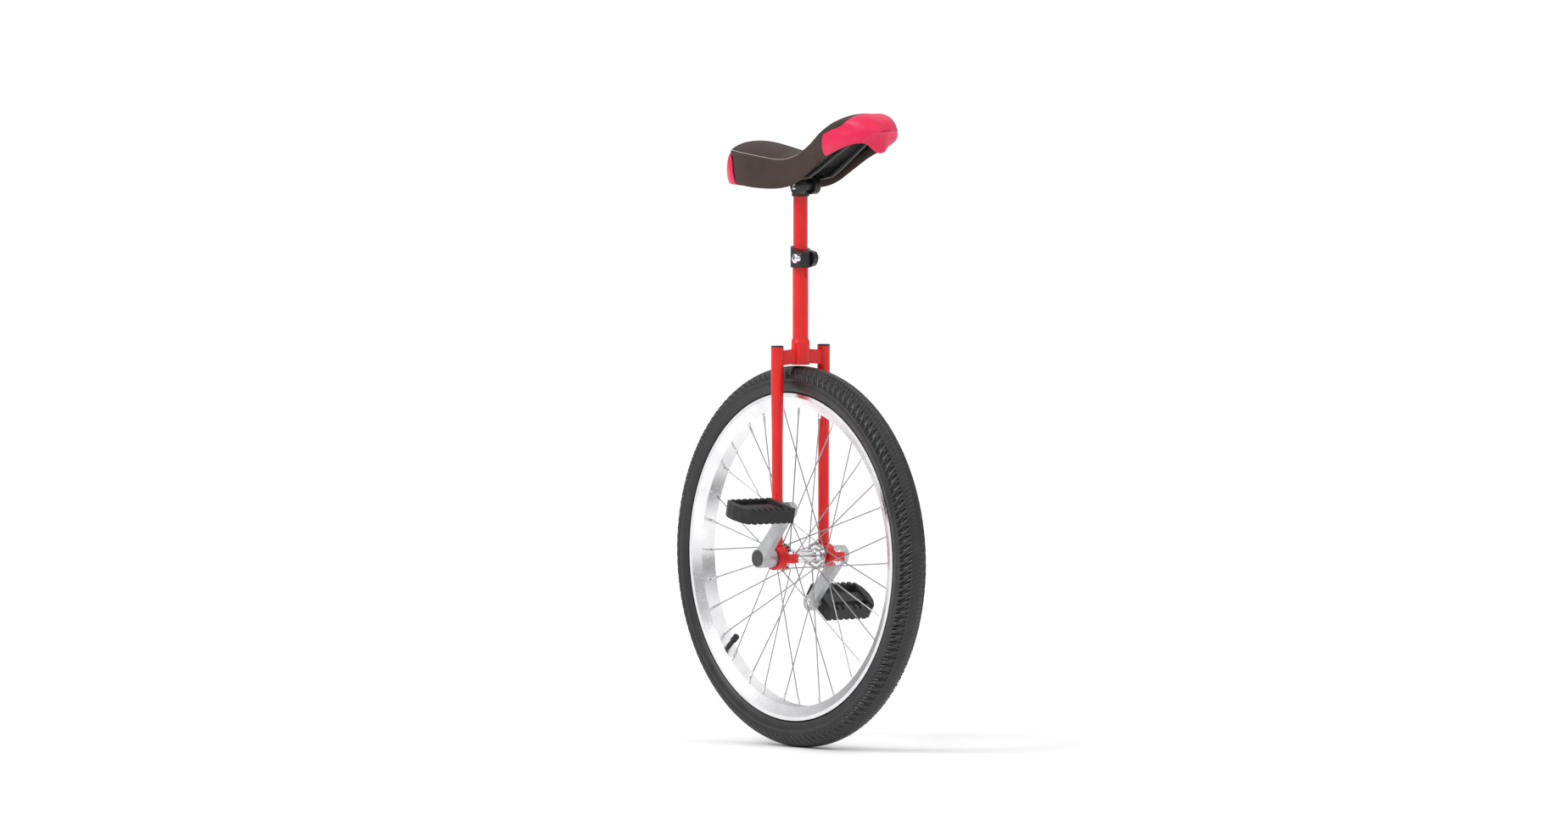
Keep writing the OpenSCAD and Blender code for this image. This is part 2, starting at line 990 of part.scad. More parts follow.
// The moulded plastic pan under the foam
module saddle_base() {
    color([0.1, 0.1, 0.1])
        difference() {
            loft([
                for (x = stations(-145, 200))
                    let (w = column(1, x) - 4.4, z = column(3, x) - skin - pad_depth - 8.3)
                    [[x, -w, z], [x, -w, z + base_t], [x, w, z + base_t], [x, w, z]]
            ]);
            at_handle_screws()
                translate([0, 0, -10])
                    cylinder(r = 2.2, h = 30, $fn = 32);
        }
}

module saddle_foam() {
    color([0.85, 0.8, 0.6])
        loft([
            for (x = stations(-146, 184))
                crowned(x, 4.4, column(3, x) - skin - pad_depth - 4)
        ]);
}

module saddle_top_cover() {
    color([0.3, 0.22, 0.2])
        difference() {
            loft([for (x = stations(-152, panel_x)) crowned(x, 0, column(2, x) - 2.4)]);
            loft([for (x = stations(-149, panel_x - 2)) crowned(x, skin, column(2, x) - 9)]);
        }
}

module side_panel() {
    loft([
        for (x = stations(bumper_x + 0.5, handle_x - 0.5))
            let (w = column(1, x), top = column(2, x) - 2.7, low = column(4, x))
            [[x, -w, low], [x, -w, top], [x, -w + skin, top], [x, -w + skin, low]]
    ]);
}

module right_side_panel() {
    color([0.3, 0.22, 0.2])
        side_panel();
}

module left_side_panel() {
    color([0.3, 0.22, 0.2])
        mirror([0, 1, 0])
            side_panel();
}

// The places of the screws that hold the handle, at the underside of the base
module at_handle_screws() {
    for (side = [-1, 1])
        translate([193, side * 14, column(3, 193) - skin - pad_depth - 8.3])
            children();
}

module front_handle() {
    color([0.95, 0.15, 0.4])
        difference() {
            union() {
                difference() {
                    skirt_solid(handle_x, 218, 0, 0);
                    skirt_solid(handle_x - 6, 212, 4, 20);
                    loft([
                        for (x = stations(handle_x - 6, panel_x + 0.4))
                            let (e = column(2, x))
                            [[x, -60, e - 2.5], [x, -60, e + 40], [x, 60, e + 40], [x, 60, e - 2.5]]
                    ]);
                }
                intersection() {
                    skirt_solid(handle_x, 218, 0, 0);
                    union() {
                        translate([196, -30, 950])
                            cube([30, 60, 14]);
                        at_handle_screws()
                            translate([0, 0, 14])
                                cylinder(r = 5, h = 60, $fn = 32);
                    }
                }
            }
            at_handle_screws()
                cylinder(r = 2.1, h = 26, $fn = 32);
        }
}

module rear_bumper() {
    color([0.95, 0.15, 0.4])
        difference() {
            skirt_solid(-156, bumper_x, 0, 0);
            skirt_solid(-152, bumper_x + 6, 4, 20);
            loft([
                for (x = stations(-160, bumper_x + 6))
                    let (e = column(2, x))
                    [[x, -60, e - 2.7], [x, -60, e + 40], [x, 60, e + 40], [x, 60, e - 2.7]]
            ]);
        }
}

module handle_screws() {
    color([0.5, 0.5, 0.5])
        at_handle_screws() {
            translate([0, 0, -4])
                cylinder(r = 2, h = 29, $fn = 32);
            translate([0, 0, -5.6])
                cylinder(r = 4, h = 3);
        }
}

tyre();
inner_tube();
rim_tape();
rim();
valve_stem();
valve_cap();
right_spokes();
left_spokes();
spoke_nipples();
hub_shell();
hub_axle();
axle_spacers();
bearing_inner_rings();
bearing_balls();
bearing_outer_rings();
right_crank();
left_crank();
crank_bolts();
crank_dust_caps();
right_pedal_spindle();
left_pedal_spindle();
right_pedal_body();
left_pedal_body();
right_pedal_bushes();
left_pedal_bushes();
right_pedal_end_cap();
left_pedal_end_cap();
seat_tube();
crown_sleeve();
right_crown_arm();
left_crown_arm();
right_fork_leg();
left_fork_leg();
right_leg_cap();
left_leg_cap();
right_bearing_holder();
left_bearing_holder();
right_holder_cap();
left_holder_cap();
holder_bolts();
holder_nuts();
seat_collar();
collar_bolt();
collar_nut();
seat_post();
saddle_clip();
clip_bolt();
clip_nut();
clip_inner_discs();
rail_clamps();
saddle_rails();
saddle_base();
saddle_foam();
saddle_top_cover();
right_side_panel();
left_side_panel();
front_handle();
rear_bumper();
handle_screws();
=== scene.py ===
import math

import bmesh
import bpy
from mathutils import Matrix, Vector


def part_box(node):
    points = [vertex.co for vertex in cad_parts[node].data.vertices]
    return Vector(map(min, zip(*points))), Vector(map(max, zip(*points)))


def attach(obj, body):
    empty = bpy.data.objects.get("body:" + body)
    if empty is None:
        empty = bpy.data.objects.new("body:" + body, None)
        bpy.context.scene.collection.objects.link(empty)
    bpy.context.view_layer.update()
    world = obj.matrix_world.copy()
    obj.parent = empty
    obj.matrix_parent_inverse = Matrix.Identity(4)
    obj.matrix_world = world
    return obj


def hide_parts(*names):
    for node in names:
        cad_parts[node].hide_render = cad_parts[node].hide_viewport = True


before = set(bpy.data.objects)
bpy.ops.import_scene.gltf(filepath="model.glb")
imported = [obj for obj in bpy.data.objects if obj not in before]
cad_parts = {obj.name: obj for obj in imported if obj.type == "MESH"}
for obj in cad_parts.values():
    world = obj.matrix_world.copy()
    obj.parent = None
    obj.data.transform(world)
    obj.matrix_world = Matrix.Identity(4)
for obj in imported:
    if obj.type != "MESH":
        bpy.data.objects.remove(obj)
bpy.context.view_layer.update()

MM = 0.001

# The wheel, as the CAD has it
WHEEL_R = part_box("tyre")[1][2] / 2
SECTION_R = (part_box("tyre")[1][1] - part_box("tyre")[0][1]) / 2


# ---------- node helpers ----------

def new_material(name):
    """A material with its Principled shader and node tree."""
    material = bpy.data.materials.new(name)
    material.use_nodes = True
    tree = material.node_tree
    return material, tree, tree.nodes["Principled BSDF"]


def coordinates(tree, scale=(1, 1, 1), rotation=(0, 0, 0)):
    """Object coordinates in metres, scaled."""
    source = tree.nodes.new("ShaderNodeTexCoord")
    mapping = tree.nodes.new("ShaderNodeMapping")
    mapping.inputs["Scale"].default_value = scale
    mapping.inputs["Rotation"].default_value = rotation
    tree.links.new(source.outputs["Object"], mapping.inputs["Vector"])
    return mapping.outputs["Vector"]


def noise(tree, vector, scale, detail=4.0, roughness=0.6):
    """Procedural noise at a vector."""
    node = tree.nodes.new("ShaderNodeTexNoise")
    node.inputs["Scale"].default_value = scale
    node.inputs["Detail"].default_value = detail
    node.inputs["Roughness"].default_value = roughness
    tree.links.new(vector, node.inputs["Vector"])
    return node.outputs["Fac"]


def spread(tree, value, low, high, start=0.3, end=0.7):
    """The value's middle range, mapped from low to high."""
    node = tree.nodes.new("ShaderNodeMapRange")
    node.inputs["From Min"].default_value = start
    node.inputs["From Max"].default_value = end
    node.inputs["To Min"].default_value = low
    node.inputs["To Max"].default_value = high
    tree.links.new(value, node.inputs["Value"])
    return node.outputs["Result"]


def blend_colours(tree, value, first, second, start=0.3, end=0.7):
    """The colour between two, chosen by a value."""
    node = tree.nodes.new("ShaderNodeValToRGB")
    node.color_ramp.elements[0].position = start
    node.color_ramp.elements[0].color = (*first, 1)
    node.color_ramp.elements[1].position = end
    node.color_ramp.elements[1].color = (*second, 1)
    tree.links.new(value, node.inputs["Fac"])
    return node.outputs["Color"]


def add_bump(tree, shader, height, strength, distance):
    """Fine relief on the shader's normal."""
    node = tree.nodes.new("ShaderNodeBump")
    node.inputs["Strength"].default_value = strength
    node.inputs["Distance"].default_value = distance
    tree.links.new(height, node.inputs["Height"])
    tree.links.new(node.outputs["Normal"], shader.inputs["Normal"])


def surface(
    name, dark, light, rough=(0.3, 0.4), metallic=0.0, grain=60.0, fine=900.0,
    bump=0.1, depth=0.0002, coat=0.0, coat_rough=0.05, stretch=(1, 1, 1), sheen=0.0,
    specular=0.5,
):
    """A material whose colour, roughness and fine relief all vary over the surface."""
    material, tree, shader = new_material(name)
    vector = coordinates(tree, stretch)
    broad = noise(tree, vector, grain)
    small = noise(tree, vector, fine, 3.0)
    tree.links.new(blend_colours(tree, broad, dark, light), shader.inputs["Base Color"])
    tree.links.new(spread(tree, small, rough[0], rough[1]), shader.inputs["Roughness"])
    add_bump(tree, shader, small, bump, depth)
    shader.inputs["Metallic"].default_value = metallic
    shader.inputs["Coat Weight"].default_value = coat
    shader.inputs["Coat Roughness"].default_value = coat_rough
    shader.inputs["Sheen Weight"].default_value = sheen
    shader.inputs["Specular IOR Level"].default_value = specular
    return material


# ---------- materials ----------

RED_PAINT = surface(
    "red_paint", (0.66, 0.006, 0.006), (0.74, 0.01, 0.009), rough=(0.34, 0.42), grain=25,
    fine=700, bump=0.12, depth=0.00008, coat=0.25, coat_rough=0.12, specular=0.3,
)
POLISHED_RIM = surface(
    "polished_rim", (0.78, 0.78, 0.8), (0.9, 0.9, 0.92), rough=(0.16, 0.3), metallic=1.0,
    grain=30, fine=500, bump=0.1, depth=0.0001,
)
CHROME = surface(
    "chrome", (0.72, 0.72, 0.74), (0.86, 0.86, 0.88), rough=(0.06, 0.16), metallic=1.0,
    grain=60, fine=600, bump=0.05, depth=0.00005,
)
SPOKE_STEEL = surface(
    "spoke_steel", (0.3, 0.3, 0.31), (0.44, 0.44, 0.45), rough=(0.22, 0.32), metallic=1.0,
    grain=90, fine=900, bump=0.05, depth=0.00004,
)
MACHINED_STEEL = surface(
    "machined_steel", (0.45, 0.45, 0.47), (0.6, 0.6, 0.62), rough=(0.25, 0.4), metallic=1.0,
    grain=90, fine=1200, bump=0.1, depth=0.00005, stretch=(1, 6, 1),
)
CRANK_METAL = surface(
    "crank_metal", (0.46, 0.47, 0.48), (0.56, 0.57, 0.58), rough=(0.42, 0.55), metallic=0.75,
    grain=80, fine=1500, bump=0.15, depth=0.00006,
)
CAP_PLASTIC = surface(
    "cap_plastic", (0.012, 0.012, 0.0125), (0.022, 0.022, 0.023), rough=(0.42, 0.56), grain=120,
    fine=1500, bump=0.2, depth=0.00008, specular=0.35,
)
DUST_CAP = surface(
    "dust_cap_plastic", (0.035, 0.035, 0.036), (0.05, 0.05, 0.052), rough=(0.4, 0.55), grain=120,
    fine=1500, bump=0.2, depth=0.00006,
)
BLACK_METAL = surface(
    "black_metal", (0.008, 0.008, 0.008), (0.018, 0.018, 0.019), rough=(0.3, 0.42), grain=120,
    fine=900, bump=0.15, depth=0.00008, coat=0.1, coat_rough=0.25, specular=0.35,
)
BUSH_PLASTIC = surface(
    "bush_plastic", (0.6, 0.57, 0.46), (0.7, 0.66, 0.55), rough=(0.45, 0.55), grain=90,
    fine=1200, bump=0.1, depth=0.00005,
)
INNER_RUBBER = surface(
    "inner_rubber", (0.02, 0.02, 0.02), (0.035, 0.035, 0.035), rough=(0.6, 0.75), grain=70,
    fine=800, bump=0.2, depth=0.0001,
)
TAPE_RUBBER = surface(
    "tape_rubber", (0.35, 0.07, 0.04), (0.45, 0.1, 0.06), rough=(0.6, 0.75), grain=70,
    fine=800, bump=0.2, depth=0.0001,
)
FOAM = surface(
    "foam", (0.6, 0.53, 0.32), (0.7, 0.63, 0.42), rough=(0.85, 0.95), grain=200, fine=900,
    bump=0.5, depth=0.0006,
)


def weave(name, dark, light, count, depth, rough, sheen):
    """Woven or suede-like cloth: crossed threads over a soft broad mottling."""
    material, tree, shader = new_material(name)
    vector = coordinates(tree)
    broad = noise(tree, vector, 38.0, 5.0)
    small = noise(tree, vector, 900.0, 3.0)
    threads = []
    for turn in (0.6, -0.6):
        wave = tree.nodes.new("ShaderNodeTexWave")
        wave.bands_direction = "X"
        wave.inputs["Scale"].default_value = count
        wave.inputs["Distortion"].default_value = 1.2
        wave.inputs["Detail"].default_value = 2.0
        tree.links.new(coordinates(tree, (1, 0.35, 1), (0, turn, 0)), wave.inputs["Vector"])
        threads.append(wave.outputs["Fac"])
    crossed = tree.nodes.new("ShaderNodeMath")
    crossed.operation = "MAXIMUM"
    tree.links.new(threads[0], crossed.inputs[0])
    tree.links.new(threads[1], crossed.inputs[1])
    height = tree.nodes.new("ShaderNodeMath")
    height.operation = "ADD"
    tree.links.new(crossed.outputs["Value"], height.inputs[0])
    tree.links.new(small, height.inputs[1])
    mottled = blend_colours(tree, broad, dark, light, 0.25, 0.75)
    shade = tree.nodes.new("ShaderNodeMix")
    shade.data_type = "RGBA"
    shade.blend_type = "MULTIPLY"
    tree.links.new(spread(tree, small, 0.0, 0.45), shade.inputs["Factor"])
    tree.links.new(mottled, shade.inputs["A"])
    shade.inputs["B"].default_value = (0.55, 0.5, 0.5, 1)
    tree.links.new(shade.outputs["Result"], shader.inputs["Base Color"])
    tree.links.new(spread(tree, broad, rough[0], rough[1]), shader.inputs["Roughness"])
    add_bump(tree, shader, height.outputs["Value"], 0.6, depth)
    shader.inputs["Sheen Weight"].default_value = sheen
    shader.inputs["Sheen Roughness"].default_value = 0.5
    shader.inputs["Specular IOR Level"].default_value = 0.25
    return material


# The top is the same brown cloth as the side panels, with its colour made darker as painted shade;
# its finer, shallower weave is its own.
TOP_FABRIC_PAINTED_SHADE = weave(
    "saddle_top_fabric_painted_shade", (0.034, 0.019, 0.015), (0.058, 0.035, 0.028), count=260,
    depth=0.0002, rough=(0.5, 0.68), sheen=0.03,
)
PANEL_FABRIC = weave(
    "saddle_side_fabric", (0.036, 0.02, 0.016), (0.07, 0.042, 0.034), count=200,
    depth=0.0003, rough=(0.6, 0.78), sheen=0.04,
)
LINER = surface(
    "saddle_liner", (0.01, 0.01, 0.01), (0.02, 0.02, 0.02), rough=(0.6, 0.8), grain=150,
    fine=1200, bump=0.3, depth=0.0002,
)
PINK_PLASTIC = surface(
    "pink_plastic", (0.66, 0.008, 0.062), (0.74, 0.013, 0.08), rough=(0.34, 0.44), grain=40,
    fine=1800, bump=0.2, depth=0.00005, coat=0.1, coat_rough=0.3, specular=0.35,
)
THREAD = surface(
    "stitch_thread", (0.62, 0.56, 0.5), (0.78, 0.72, 0.66), rough=(0.7, 0.85), grain=500,
    fine=2500, bump=0.4, depth=0.0001,
)
TYRE_RUBBER = surface(
    "tyre_rubber", (0.009, 0.009, 0.0092), (0.019, 0.019, 0.0195), rough=(0.3, 0.46), grain=45,
    fine=700, bump=0.2, depth=0.0001, specular=0.5,
)

NODE_MATERIALS = {
    "inner_tube": INNER_RUBBER, "rim_tape": TAPE_RUBBER, "rim": POLISHED_RIM,
    "valve_stem": INNER_RUBBER, "valve_cap": CAP_PLASTIC, "right_spokes": SPOKE_STEEL,
    "left_spokes": SPOKE_STEEL, "spoke_nipples": CHROME, "hub_shell": CHROME,
    "hub_axle": MACHINED_STEEL, "axle_spacers": MACHINED_STEEL,
    "bearing_inner_rings": MACHINED_STEEL, "bearing_balls": CHROME,
    "bearing_outer_rings": MACHINED_STEEL, "right_crank": CRANK_METAL,
    "left_crank": CRANK_METAL, "crank_bolts": CHROME, "crank_dust_caps": DUST_CAP,
    "right_pedal_spindle": CHROME, "left_pedal_spindle": CHROME,
    "right_pedal_body": CAP_PLASTIC, "left_pedal_body": CAP_PLASTIC,
    "right_pedal_bushes": BUSH_PLASTIC, "left_pedal_bushes": BUSH_PLASTIC,
    "right_pedal_end_cap": CAP_PLASTIC, "left_pedal_end_cap": CAP_PLASTIC,
    "seat_tube": RED_PAINT, "crown_sleeve": RED_PAINT, "right_crown_arm": RED_PAINT,
    "left_crown_arm": RED_PAINT, "right_fork_leg": RED_PAINT, "left_fork_leg": RED_PAINT,
    "right_leg_cap": CAP_PLASTIC, "left_leg_cap": CAP_PLASTIC,
    "right_bearing_holder": RED_PAINT, "left_bearing_holder": RED_PAINT,
    "right_holder_cap": RED_PAINT, "left_holder_cap": RED_PAINT, "holder_bolts": CHROME,
    "holder_nuts": CHROME, "seat_collar": BLACK_METAL, "collar_bolt": CHROME,
    "collar_nut": CHROME, "seat_post": RED_PAINT, "saddle_clip": BLACK_METAL,
    "clip_bolt": CHROME, "clip_nut": CHROME, "clip_inner_discs": BLACK_METAL,
    "rail_clamps": BLACK_METAL, "saddle_rails": BLACK_METAL, "saddle_foam": FOAM,
    "saddle_base": LINER, "handle_screws": CHROME,
}

for node_name, material in NODE_MATERIALS.items():
    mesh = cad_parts[node_name].data
    mesh.materials.clear()
    mesh.materials.append(material)

# Machined and moulded parts whose sharp edges are eased
for node_name, width in (
    ("right_crank", 0.9), ("left_crank", 0.9), ("seat_collar", 0.7), ("saddle_clip", 0.7),
    ("right_bearing_holder", 0.8), ("left_bearing_holder", 0.8), ("right_holder_cap", 0.8),
    ("left_holder_cap", 0.8), ("right_pedal_body", 0.5), ("left_pedal_body", 0.5),
    ("right_leg_cap", 0.5), ("left_leg_cap", 0.5), ("crown_sleeve", 0.8),
):
    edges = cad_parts[node_name].modifiers.new("eased_edges", "BEVEL")
    edges.width = width * MM
    edges.segments = 2
    edges.limit_method = "ANGLE"
    edges.angle_limit = math.radians(35)
    edges.harden_normals = True


# ---------- saddle ----------

# Stations from the back to the front: x, half width, edge, crown and lower edge, in mm
SADDLE_ROWS = (
    (-157, 0, 949, 951, 899), (-155, 13, 950, 953, 899), (-146, 29, 951, 960, 898),
    (-125, 43, 951, 966, 897), (-90, 50, 948, 967, 896), (-50, 49, 944, 961, 893),
    (0, 45, 940, 953, 894), (40, 44, 948, 960, 903), (80, 46, 968, 979, 924),
    (115, 50, 990, 1001, 944), (150, 51, 1004, 1016, 957), (185, 44, 1004, 1017, 969),
    (206, 33, 993, 1009, 970), (218, 16, 990, 998, 957), (222, 0, 989, 993, 954),
)


def hermite(rows, position):
    """The rows' smooth curve at a distance along it."""
    spans = [0.0]
    for first, second in zip(rows, rows[1:]):
        spans.append(spans[-1] + math.hypot(second[0] - first[0], second[1] - first[1]))
    position = min(max(position, 0.0), spans[-1])
    index = max(i for i in range(len(rows) - 1) if spans[i] <= position)
    length = spans[index + 1] - spans[index]
    t = (position - spans[index]) / length

    def slope(i, column):
        low, high = max(i - 1, 0), min(i + 1, len(rows) - 1)
        return (rows[high][column] - rows[low][column]) / (spans[high] - spans[low]) * length

    out = []
    for column in range(len(rows[0])):
        p0, p1 = rows[index][column], rows[index + 1][column]
        m0, m1 = slope(index, column), slope(index + 1, column)
        out.append(
            (2 * t**3 - 3 * t**2 + 1) * p0 + (t**3 - 2 * t**2 + t) * m0
            + (3 * t**2 - 2 * t**3) * p1 + (t**3 - t**2) * m1
        )
    return out


def total_length(rows):
    """The length of the outline through the rows, in mm."""
    return sum(math.hypot(b[0] - a[0], b[1] - a[1]) for a, b in zip(rows, rows[1:]))


SADDLE_LENGTH = total_length(SADDLE_ROWS)

# The plan points where the bumper and the handle cross the middle, in mm
BACK_POINT = (-157, 0)
NOSE_POINT = (221, 0)

# The handle's rear edge at the top, and the drop from the saddle's edge to its side, in mm
HANDLE_REAR_X = 121
HANDLE_SIDE_DROP = 15

# The stuffed top, in mm: its two ends, the remesh size and how far it may swell
PAD_BACK_X = -153
PAD_FRONT_X = 190
PAD_SECTIONS = 60
PAD_VOXEL = 4
PAD_SWELL = 2.2
PAD_SWELL_LOST_IN_FRONT = 1.9
CLOTH_FRAMES = 20

# The seam's stitches, in mm
STITCH_BACK_X = -151
STITCH_FRONT_X = 60
STITCH_LENGTH = 2.9
STITCH_PITCH = 4.1
STITCH_INSET = 2.6
THREAD_RADIUS = 0.4


def along_saddle(x):
    """The distance along the outline where it reaches x."""
    low, high = 0.0, SADDLE_LENGTH
    for _ in range(30):
        middle = (low + high) / 2
        if hermite(SADDLE_ROWS, middle)[0] < x:
            low = middle
        else:
            high = middle
    return (low + high) / 2


def outline(position, side):
    """A point on the plan outline, the way out from it, and the heights there."""
    x, width, edge, crown, low = hermite(SADDLE_ROWS, position)
    before = hermite(SADDLE_ROWS, position - 1)
    after = hermite(SADDLE_ROWS, position + 1)
    way = Vector((after[0] - before[0], after[1] - before[1])).normalized()
    out = Vector((-way.y, way.x * side))
    return Vector((x, width * side)), out, edge, crown, low


def top_height(x, y):
    """The height of the crowned top at a plan point."""
    _, width, edge, crown, _ = hermite(SADDLE_ROWS, along_saddle(x))
    share = min(abs(y) / max(width, 1), 1)
    return edge + (crown - edge) * (1 - share ** (2 + 1.6 * ease((x - 150) / 40)))


def key_value(keys, t):
    """Straight-line interpolation in a list of (t, value, ...) keys."""
    for first, second in zip(keys, keys[1:]):
        if t <= second[0]:
            share = (t - first[0]) / (second[0] - first[0])
            return [a + (b - a) * share for a, b in zip(first[1:], second[1:])]
    return list(keys[-1][1:])


def ease(t):
    """A smooth step from 0 to 1."""
    t = min(max(t, 0.0), 1.0)
    return t * t * (3 - 2 * t)


def grid_object(name, rows, closed=False):
    """A quad grid through rows of points in mm, as an object in metres."""
    mesh = bpy.data.meshes.new(name)
    grid = bmesh.new()
    verts = [[grid.verts.new([c * MM for c in point]) for point in row] for row in rows]
    count = len(rows[0])
    for first, second in zip(verts, verts[1:]):
        for k in range(count if closed else count - 1):
            after = (k + 1) % count
            grid.faces.new((first[k], first[after], second[after], second[k]))
    if closed:
        grid.faces.new(verts[0])
        grid.faces.new(verts[-1][::-1])
    bmesh.ops.recalc_face_normals(grid, faces=grid.faces)
    grid.to_mesh(mesh)
    grid.free()
    return link_object(name, mesh)


def link_object(name, mesh):
    """An object of the mesh, in the scene."""
    made = bpy.data.objects.new(name, mesh)
    bpy.context.scene.collection.objects.link(made)
    return made


def smooth_shade(made):
    """Shades every face of the mesh smooth."""
    for polygon in made.data.polygons:
        polygon.use_smooth = True


def finish_shell(made, material, thickness, levels, inner=None):
    """Smooths a control grid whose faces point outwards, and gives it its thickness."""
    made.data.materials.append(material)
    smooth_shade(made)
    subdivide = made.modifiers.new("subdivide", "SUBSURF")
    subdivide.levels = subdivide.render_levels = levels
    thicken = made.modifiers.new("thicken", "SOLIDIFY")
    thicken.thickness = thickness
    thicken.offset = -1
    if inner:
        made.data.materials.append(inner)
        thicken.material_offset = 1


def point_out(made, centre):
    """Turns the faces of a one-piece grid so that they point away from a centre line."""
    total = sum(
        polygon.normal.dot(Vector((0, polygon.center.y, 0)) if centre is None
                           else polygon.center - Vector(centre))
        for polygon in made.data.polygons
    )
    if total < 0:
        made.data.flip_normals()


BACK_EDGE = ((0, -105), (0.45, -111), (0.8, -118), (0.93, -126), (1, -138))
FRONT_EDGE = ((0, 130), (0.35, 125.5), (0.7, 122.5), (1, 121))


def panel_profile(edge, low):
    """Offsets out of the outline and heights, from inside the hem up to the top edge."""
    rise = edge - low
    return (
        (-5.4, low + 15), (-5.4, low + 8), (-4.8, low + 2), (-2.7, low - 0.4),
        (-0.4, low + 1.2), (0.9, low + 6), (2.0, low + 0.3 * rise), (2.4, low + 0.5 * rise),
        (1.5, low + 0.75 * rise), (0.5, low + 0.92 * rise), (-0.1, edge - 1.6), (-2.5, edge - 1),
    )


def add_panel(side, name, node):
    """One covered side panel, hemmed under at its lower edge."""
    rows = []
    columns = 26
    for i in range(columns + 1):
        share = i / columns
        row = []
        for k in range(12):
            height = min(max((k - 3) / 8, 0), 1)
            start = along_saddle(key_value(BACK_EDGE, height)[0] - 5)
            stop = along_saddle(key_value(FRONT_EDGE, height)[0] + 5)
            place, out, edge, _, low = outline(start + (stop - start) * share, side)
            offset, z = panel_profile(edge, low)[k]
            tuck = 2.6 if i in (0, columns) else 0
            point = place + out * (offset - tuck)
            row.append((point.x, point.y, z))
        rows.append(row)
    panel = grid_object(name, rows)
    point_out(panel, None)
    finish_shell(panel, PANEL_FABRIC, 1.6 * MM, 2, LINER)
    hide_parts(node)
    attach(panel, "saddle")
    return panel


def add_bumper():
    """The moulded bumper wrapped round the saddle's back."""
    rows = []
    columns = 24
    for i in range(columns + 1):
        row = []
        for k in range(9):
            height = min(max((k - 1) / 6, 0), 1)
            reach = along_saddle(key_value(BACK_EDGE, height)[0])
            position = reach * (2 * i / columns - 1)
            place, out, edge, _, low = outline(abs(position), -1 if position < 0 else 1)
            if abs(position) < 1e-6:
                place, out = Vector(BACK_POINT), Vector((-1, 0))
            top = edge - 4.5
            rise = top - low
            offset, z = (
                (-2.2, low + 1), (0.2, low - 0.4), (3.0, low + 0.12 * rise),
                (4.6, low + 0.32 * rise), (4.8, low + 0.52 * rise), (3.9, low + 0.72 * rise),
                (2.4, low + 0.88 * rise), (0.9, top - 0.6), (-2.0, top + 0.2),
            )[k]
            ends = 1.2 if i in (0, columns) else 0
            point = place + out * (offset - ends)
            row.append((point.x, point.y, z))
        rows.append(row)
    bumper = grid_object("saddle_rear_bumper", rows)
    point_out(bumper, (-0.11, 0, 0.925))
    finish_shell(bumper, PINK_PLASTIC, 2.4 * MM, 2)
    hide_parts("rear_bumper")
    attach(bumper, "saddle")


# Where the handle's top edge runs: share of the way to the nose, x, share of the half
# width, and drop below the top surface
HANDLE_TOP = (
    (0, 121, 1, 10.5), (0.25, 141, 1, 12), (0.42, 157, 1, 11), (0.55, 168, 1, 7),
    (0.66, 174, 0.97, 2), (0.78, 179, 0.72, 0), (0.9, 184, 0.34, 0), (1, 187, 0, 0),
)

# The lower edge of the nose's bulge, over the finger recess: share of the way to the nose,
# height, and how deep the recess is, with 1 its usual depth
HANDLE_BROW = (
    (0, 972, 0), (0.48, 974, 0), (0.58, 976, 0.35), (0.7, 980, 0.85), (0.84, 987, 1.15),
    (1, 990, 1.2),
)


def handle_column(share, side):
    """The handle's control points at a share of the way from its rear edge to the nose."""
    rear = along_saddle(HANDLE_REAR_X)
    nose = ease((share - 0.42) / 0.34)
    flat = []
    for k in range(9):
        height = k / 8
        start = rear + (along_saddle(key_value(FRONT_EDGE, height)[0]) - rear) * (1 - nose)
        position = start + (SADDLE_LENGTH - start) * share
        place, out, edge, _, low = outline(position, side)
        if share == 1:
            place, out = Vector(NOSE_POINT), Vector((1, 0))
        rise = edge - HANDLE_SIDE_DROP - low
        plain = (
            (-3.6, low + 1), (-1.4, low - 0.3), (0.6, low + 2.5), (2.0, low + 0.22 * rise),
            (2.9, low + 0.42 * rise), (3.1, low + 0.58 * rise), (2.7, low + 0.74 * rise),
            (1.8, low + 0.88 * rise), (0.9, edge - HANDLE_SIDE_DROP),
        )[k]
        brow, cut = key_value(HANDLE_BROW, share)
        bulge = (
            (-5 - 11 * cut, low + 1.2), (-2.4 - 10.4 * cut, low - 0.2),
            (-0.8 - 10.4 * cut, low + 2.6), (-10.2 * cut, low + 0.5 * (brow - 7 - low)),
            (-8.6 * cut, brow - 6.5), (1.5 - 3.7 * cut, brow - 0.6), (2.2 - 1.2 * cut, brow + 1.6),
            (2.2 - 1.1 * cut, 0.5 * (brow + edge) + 3), (0.3, edge + 1.5),
        )[k]
        offset = plain[0] + (bulge[0] - plain[0]) * nose
        z = plain[1] + (bulge[1] - plain[1]) * nose
        point = place + out * offset
        flat.append((point.x, point.y, z))
    start = Vector(flat[-1])
    x, part, drop = key_value(HANDLE_TOP, share)
    width = hermite(SADDLE_ROWS, along_saddle(x))[1]
    stop = Vector((x, part * width * side, 0))
    lift = start.z - top_height(start.x, start.y)
    for t in (0.14, 0.3, 0.5, 0.75, 1.0):
        plan = start.lerp(stop, t)
        z = top_height(plan.x, plan.y) + lift * (1 - t) ** (1 + 2 * nose) - drop * t + 0.7
        flat.append((plan.x, plan.y, z))
    return flat


def add_handle():
    """The grab handle wrapped round the nose, with its finger recess."""
    steps = 20
    right = [handle_column(i / steps, -1) for i in range(steps + 1)]
    left = [handle_column(i / steps, 1) for i in range(steps)]
    handle = grid_object("saddle_front_handle", right + left[::-1])
    point_out(handle, (0.17, 0, 0.985))
    finish_shell(handle, PINK_PLASTIC, 2.6 * MM, 3)
    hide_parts("front_handle")
    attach(handle, "saddle")


